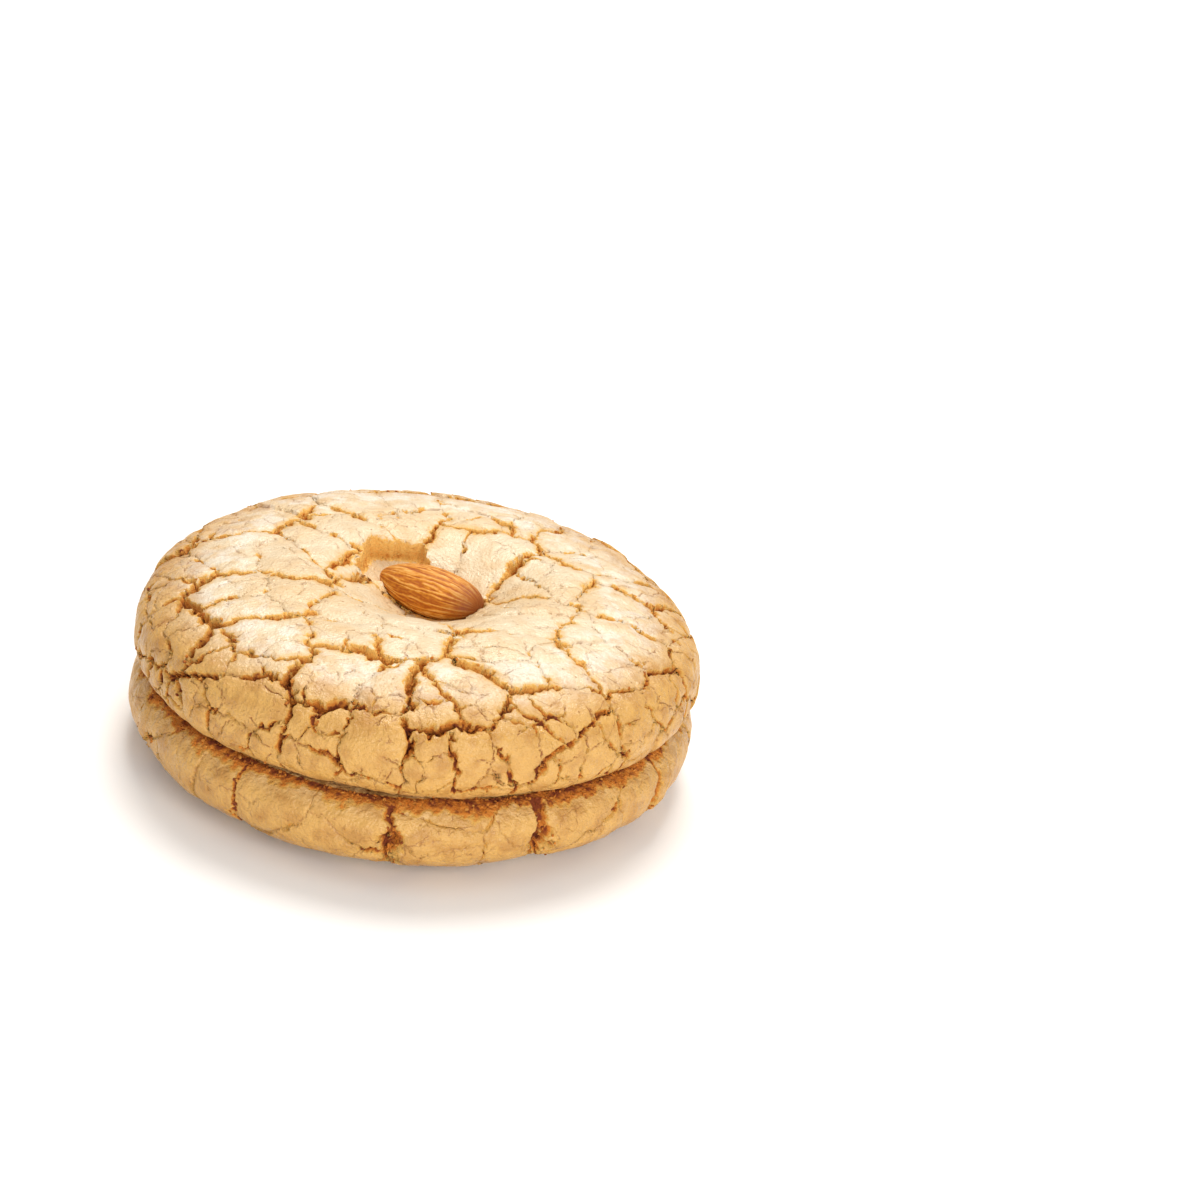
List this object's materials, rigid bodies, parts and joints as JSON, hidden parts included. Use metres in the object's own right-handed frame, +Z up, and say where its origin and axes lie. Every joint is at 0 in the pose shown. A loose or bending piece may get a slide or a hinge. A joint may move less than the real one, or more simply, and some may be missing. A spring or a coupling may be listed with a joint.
{
  "type": "bitter almond cookie",
  "caption": "Round bitter almond cookie of crackled macaroon halves stuck base to base, with a whole unpeeled almond pressed into the dimple on top.",
  "frame": {"origin": "middle of the bounding box, on the surface that the cookie lies on", "axes": "+Z up through the dimple, -Y towards the front as seen in the picture"},
  "size_m": [0.1002, 0.101, 0.035],
  "materials": {
    "crust": "baked egg-white and almond crust, satin on its plates and crumbly in its cracks",
    "almond_skin": "dry brown almond skin, ridged from end to end"
  },
  "bodies": {
    "root": {"lower_biscuit": "crust", "upper_biscuit": "crust", "almond": "almond_skin"}
  },
  "joints": []
}
